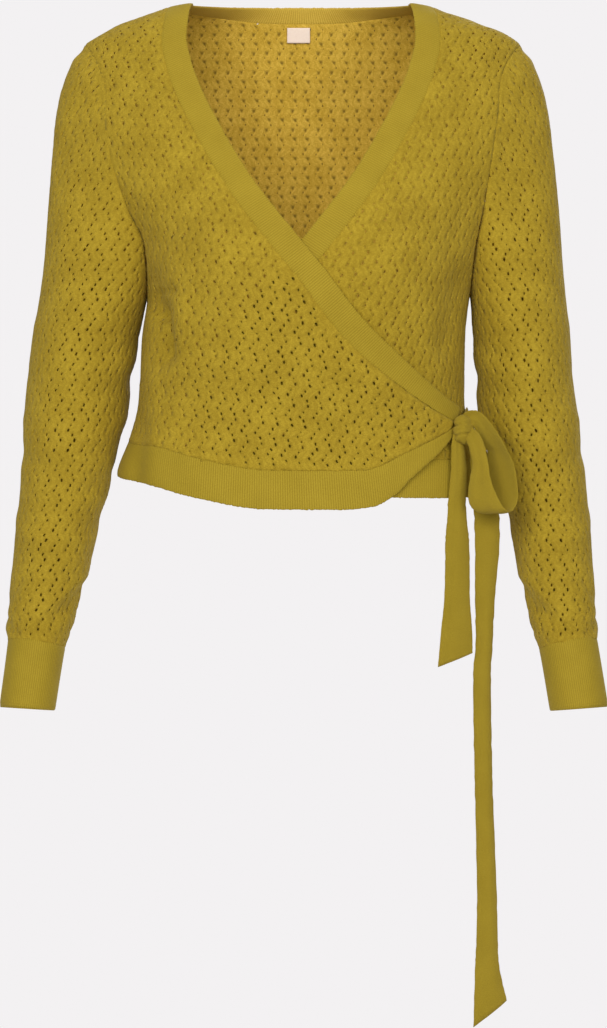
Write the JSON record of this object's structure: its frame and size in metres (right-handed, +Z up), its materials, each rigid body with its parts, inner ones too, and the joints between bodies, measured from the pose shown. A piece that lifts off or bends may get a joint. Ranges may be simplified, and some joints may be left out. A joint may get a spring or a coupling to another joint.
{
  "type": "knitted wrap shrug",
  "caption": "Cropped long-sleeved wrap shrug in open net knit, with plain bands and a ribbon tied in a bow at the hip, in its worn form.",
  "frame": {"origin": "midway between the two shoulder neck points, at their height, where the shrug hangs from the shoulders", "axes": "+X towards the wearer's left, -Y towards the front, +Z up"},
  "size_m": [0.557, 0.2253, 0.9464],
  "materials": {
    "net_knit": "open net knit in fine mustard yarn, matt",
    "rib_knit": "fine plain rib in mustard yarn, matt",
    "ribbon_knit": "smooth fine knit strip in mustard yarn, matt",
    "label": "woven satin label, blank"
  },
  "bodies": {
    "root": {"right_front": "net_knit", "left_front": "net_knit", "back": "net_knit", "right_sleeve": "net_knit", "left_sleeve": "net_knit", "neck_band_right": "rib_knit", "neck_band_left": "rib_knit", "neck_band_back": "rib_knit", "hem_band_right_front": "rib_knit", "hem_band_left_front": "rib_knit", "hem_band_back": "rib_knit", "right_cuff": "rib_knit", "left_cuff": "rib_knit", "tie_knot": "ribbon_knit", "bow_loop": "ribbon_knit", "short_tail": "ribbon_knit", "long_tail": "ribbon_knit", "side_strap": "ribbon_knit", "neck_label": "label"}
  },
  "joints": []
}
